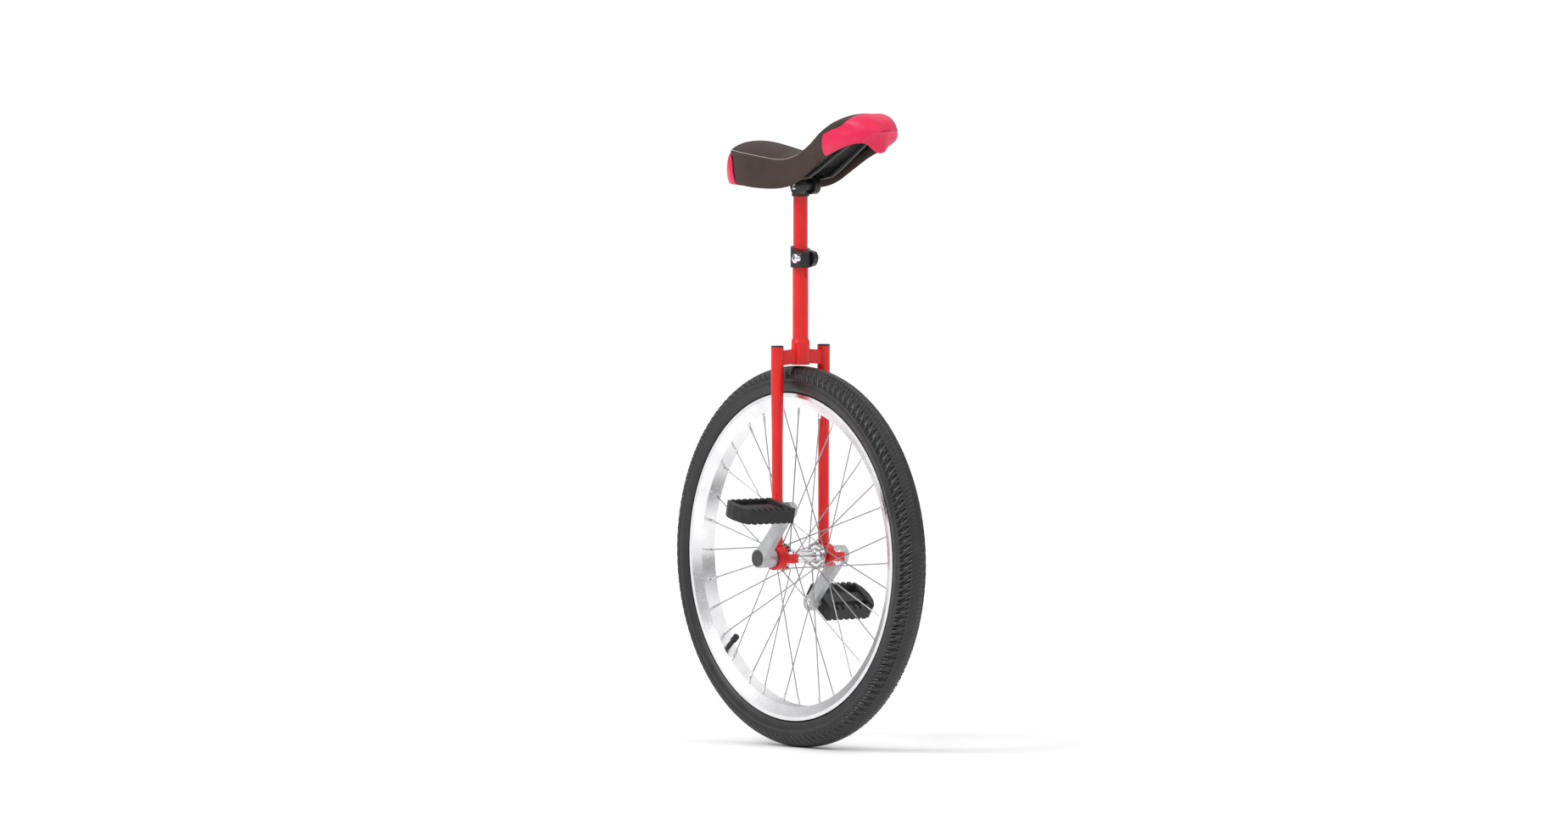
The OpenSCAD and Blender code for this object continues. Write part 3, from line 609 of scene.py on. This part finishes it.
def pad_section(x):
    """One cross-section of the stuffed top, as a closed loop."""
    _, width, edge, crown, _ = hermite(SADDLE_ROWS, along_saddle(x))
    sunk = 0.4 * ease((x - 112) / 12)
    width, edge, crown = width - 0.4 - sunk, edge - sunk, crown - sunk
    inset = 1 - ease((x - 105) / 15)
    points = [
        (x, width - 4 * inset, edge - 17), (x, width - 1.2 * inset, edge - 8),
        (x, width, edge - 2.5),
    ]
    for k in range(13):
        share = 0.965 * (1 - k / 6)
        points.append((x, width * share, edge + (crown - edge) * (1 - share * share)))
    points += [
        (x, -width, edge - 2.5), (x, -width + 1.2 * inset, edge - 8),
        (x, -width + 4 * inset, edge - 17),
    ]
    return points


def swell(made, limit):
    """Cloth with air pressure inside; no vertex may end further from its start than limit."""
    start = [vertex.co.copy() for vertex in made.data.vertices]
    pins = made.vertex_groups.new(name="pins")
    held = [
        vertex.index for vertex in made.data.vertices
        if vertex.co.z < (top_height(vertex.co.x / MM, 200) - 6) * MM
    ]
    pins.add(held, 1.0, "REPLACE")
    modifier = made.modifiers.new("cloth", "CLOTH")
    settings = modifier.settings
    settings.quality = 6
    settings.mass = 0.3
    settings.tension_stiffness = 25
    settings.compression_stiffness = 25
    settings.bending_stiffness = 4
    settings.use_pressure = True
    settings.uniform_pressure_force = 4
    settings.vertex_group_mass = "pins"
    settings.effector_weights.gravity = 0
    modifier.collision_settings.use_collision = False
    for frame_number in range(1, CLOTH_FRAMES + 1):
        bpy.context.scene.frame_set(frame_number)
    settled = made.evaluated_get(bpy.context.evaluated_depsgraph_get())
    after = [vertex.co.copy() for vertex in settled.data.vertices]
    made.modifiers.remove(modifier)
    bpy.context.scene.frame_set(1)
    for vertex, was, now in zip(made.data.vertices, start, after):
        move = now - was
        most = limit(was)
        if move.length > most:
            move *= most / move.length
        vertex.co = was + move


def add_pad():
    """The stuffed top, swollen as cloth, for the cover and the foam."""
    span = PAD_FRONT_X - PAD_BACK_X
    rows = [
        pad_section(PAD_BACK_X + i * span / PAD_SECTIONS) for i in range(PAD_SECTIONS + 1)
    ]
    pad = grid_object("saddle_pad", rows, closed=True)
    remesh = pad.modifiers.new("remesh", "REMESH")
    remesh.mode = "VOXEL"
    remesh.voxel_size = PAD_VOXEL * MM
    shape = pad.evaluated_get(bpy.context.evaluated_depsgraph_get())
    mesh = bpy.data.meshes.new_from_object(shape)
    pad.modifiers.clear()
    pad.data = mesh
    swell(pad, lambda was: (
        PAD_SWELL - PAD_SWELL_LOST_IN_FRONT * ease((was.x / MM - 95) / 20)
    ) * MM)
    relax = bmesh.new()
    relax.from_mesh(pad.data)
    for _ in range(4):
        bmesh.ops.smooth_vert(
            relax, verts=relax.verts, factor=0.5, use_axis_x=True, use_axis_y=True,
            use_axis_z=True,
        )
    relax.to_mesh(pad.data)
    relax.free()
    smooth_shade(pad)
    pad.data.materials.clear()
    pad.data.materials.append(TOP_FABRIC_PAINTED_SHADE)
    subdivide = pad.modifiers.new("subdivide", "SUBSURF")
    subdivide.levels = subdivide.render_levels = 1
    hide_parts("saddle_top_cover", "saddle_foam")
    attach(pad, "saddle")
    return pad


def thread_mesh(name, segments, radius, sides=8):
    """Short round-ended threads, each from one point to another, in one mesh."""
    build = bmesh.new()
    for first, second, up in segments:
        way = (second - first).normalized()
        across = way.cross(up).normalized()
        above = across.cross(way)
        rings = []
        for t, size in ((-0.12, 0.35), (0.02, 0.9), (0.3, 1), (0.7, 1), (0.98, 0.9), (1.12, 0.35)):
            middle = first.lerp(second, t) + above * radius * (0.9 * math.sin(math.pi * t) - 0.35)
            rings.append([
                build.verts.new(
                    middle + radius * size * (
                        math.cos(2 * math.pi * k / sides) * across
                        + 0.8 * math.sin(2 * math.pi * k / sides) * above
                    )
                )
                for k in range(sides)
            ])
        for a, b in zip(rings, rings[1:]):
            for k in range(sides):
                build.faces.new((a[k], a[(k + 1) % sides], b[(k + 1) % sides], b[k]))
        build.faces.new(rings[0][::-1])
        build.faces.new(rings[-1])
    bmesh.ops.recalc_face_normals(build, faces=build.faces)
    mesh = bpy.data.meshes.new(name)
    build.to_mesh(mesh)
    build.free()
    made = link_object(name, mesh)
    smooth_shade(made)
    return made


def add_stitches(pad):
    """A row of light thread just inside the top's edge, along the back half of each side."""
    pad.data.update()
    segments = []
    for side in (-1, 1):
        position, last = along_saddle(STITCH_BACK_X), along_saddle(STITCH_FRONT_X)
        while position < last:
            ends = []
            for step in (0, STITCH_LENGTH):
                place, out, edge, _, _ = outline(position + step, side)
                inside = place - out * STITCH_INSET
                _, where, normal, _ = pad.closest_point_on_mesh(
                    Vector((inside.x, inside.y, edge + 1)) * MM
                )
                ends.append(where + normal * 0.25 * MM)
            segments.append((ends[0], ends[1], normal))
            position += STITCH_PITCH
    stitches = thread_mesh("saddle_stitches", segments, THREAD_RADIUS * MM)
    stitches.data.materials.append(THREAD)
    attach(stitches, "saddle")


# ---------- tyre ----------

# The tread repeats this many times round the wheel, with this many steps in each
TREAD_PITCHES = 130
PITCH_STEPS = 10
TREAD_DEPTH = 2.6 * MM

# Degrees round the tyre's section from its middle: the centre band ends and the shoulder
# lugs start at a rib, and the lugs run down to the sidewall
CENTRE_END = 22
LUGS_START = 27
LUGS_END = 74
WALL = 4.2 * MM


def tread_depth(around, section):
    """How far below the lug tops the rubber lies: around in pitches, section in degrees."""
    angle = abs(section)
    if angle > LUGS_END:
        shoulder = TREAD_DEPTH * ease((angle - LUGS_END) / 4) * 0.7
        return shoulder + 0.5 * MM * ease((angle - 92) / 20)
    phase = (around + 0.024 * angle + 0.5 * (section > 0)) % 1
    if angle > LUGS_START:
        block = phase < 0.46 or 0.64 < phase < 0.82
        return 0.0 if block else TREAD_DEPTH * ease((angle - 26) / 5)
    if angle > CENTRE_END:
        return TREAD_DEPTH * 0.6
    half = (phase * 2) % 1
    return 0.0 if half < 0.7 or angle < 3 else TREAD_DEPTH * 0.55


def tyre_point(turn, radius, angle):
    """A point at a turn round the wheel and at a radius and angle in the tyre's section."""
    away = WHEEL_R - SECTION_R + radius * math.cos(math.radians(angle))
    across = radius * math.sin(math.radians(angle))
    return away * math.sin(turn), across, WHEEL_R - away * math.cos(turn)


def add_tyre():
    """The tyre with its tread lugs, bead to bead, closed by an inner wall."""
    steps = TREAD_PITCHES * PITCH_STEPS
    angles = [-122 + 244 * k / 52 for k in range(53)]
    inner = [118 - 236 * k / 8 for k in range(9)]
    mesh = bpy.data.meshes.new("tyre_tread")
    build = bmesh.new()
    rings = []
    for i in range(steps):
        turn = 2 * math.pi * i / steps
        ring = []
        for angle in angles:
            radius = SECTION_R - tread_depth(i / PITCH_STEPS, angle)
            ring.append(build.verts.new(tyre_point(turn, radius, angle)))
        for angle in inner:
            ring.append(build.verts.new(tyre_point(turn, SECTION_R - WALL, angle)))
        rings.append(ring)
    for i, ring in enumerate(rings):
        after = rings[(i + 1) % steps]
        for k in range(len(ring)):
            nxt = (k + 1) % len(ring)
            build.faces.new((ring[k], after[k], after[nxt], ring[nxt]))
    bmesh.ops.recalc_face_normals(build, faces=build.faces)
    build.to_mesh(mesh)
    build.free()
    tyre = link_object("tyre_tread", mesh)
    smooth_shade(tyre)
    mesh.set_sharp_from_angle(angle=math.radians(50))
    mesh.materials.append(TYRE_RUBBER)
    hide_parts("tyre")
    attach(tyre, "wheel")


pad = add_pad()
add_panel(-1, "saddle_right_panel", "right_side_panel")
add_panel(1, "saddle_left_panel", "left_side_panel")
add_bumper()
add_handle()
add_stitches(pad)
add_tyre()


# ---------- camera, light and floor ----------

# Where the camera stands: degrees, metres and the lens in mm
CAMERA_AZIMUTH = 51.88
CAMERA_ELEVATION = 2.87
CAMERA_DISTANCE = 26.16
CAMERA_AIM = (-0.0162, -0.0207, 0.5393)
CAMERA_LENS = 376.3


def add_camera():
    """The camera, far off in front and to the right, looking slightly down."""
    azimuth, elevation = math.radians(CAMERA_AZIMUTH), math.radians(CAMERA_ELEVATION)
    aim = Vector(CAMERA_AIM)
    data = bpy.data.cameras.new("camera")
    data.lens = CAMERA_LENS
    data.sensor_width = 36
    data.clip_end = 200
    camera = bpy.data.objects.new("camera", data)
    bpy.context.scene.collection.objects.link(camera)
    camera.rotation_euler = (math.pi / 2 - elevation, 0, azimuth)
    forward = Vector((
        -math.sin(azimuth) * math.cos(elevation), math.cos(azimuth) * math.cos(elevation),
        -math.sin(elevation),
    ))
    camera.location = aim - forward * CAMERA_DISTANCE
    bpy.context.scene.camera = camera


def add_sun(name, azimuth, elevation, strength, spread):
    """A broad soft light; azimuth is counted from +X towards +Y, in degrees."""
    data = bpy.data.lights.new(name, "SUN")
    data.energy = strength
    data.angle = math.radians(spread)
    light = bpy.data.objects.new(name, data)
    a, e = math.radians(azimuth), math.radians(elevation)
    way = Vector((math.cos(a) * math.cos(e), math.sin(a) * math.cos(e), math.sin(e)))
    light.rotation_euler = way.to_track_quat("Z", "Y").to_euler()
    bpy.context.scene.collection.objects.link(light)


def add_world():
    """White behind the object, and a soft room, darker low down, in its reflections."""
    world = bpy.data.worlds.new("studio")
    world.use_nodes = True
    tree = world.node_tree
    background = tree.nodes["Background"]
    source = tree.nodes.new("ShaderNodeTexCoord")
    split = tree.nodes.new("ShaderNodeSeparateXYZ")
    tree.links.new(source.outputs["Generated"], split.inputs["Vector"])
    room = blend_colours(tree, split.outputs["Z"], (0.3, 0.3, 0.31), (1, 1, 1), 0.05, 0.7)
    rays = tree.nodes.new("ShaderNodeLightPath")
    mix = tree.nodes.new("ShaderNodeMix")
    mix.data_type = "RGBA"
    tree.links.new(rays.outputs["Is Camera Ray"], mix.inputs["Factor"])
    tree.links.new(room, mix.inputs["A"])
    mix.inputs["B"].default_value = (1, 1, 1, 1)
    tree.links.new(mix.outputs["Result"], background.inputs["Color"])
    background.inputs["Strength"].default_value = 1.0
    bpy.context.scene.world = world
    bpy.context.scene.view_settings.view_transform = "Standard"


def add_studio():
    """The world, the two lights and the pale floor."""
    add_world()
    add_sun("key", -100, 42, 1.5, 35)
    add_sun("fill", 10, 35, 0.35, 60)
    mesh = bpy.data.meshes.new("floor")
    floor_mesh = bmesh.new()
    bmesh.ops.create_grid(floor_mesh, x_segments=1, y_segments=1, size=60)
    floor_mesh.to_mesh(mesh)
    floor_mesh.free()
    floor = bpy.data.objects.new("floor", mesh)
    bpy.context.scene.collection.objects.link(floor)
    mesh.materials.append(surface(
        "pale_floor", (0.93, 0.93, 0.93), (0.95, 0.95, 0.95), rough=(0.7, 0.8), grain=2,
        fine=20, bump=0.0, depth=0.0001, specular=0.1,
    ))


add_camera()
add_studio()
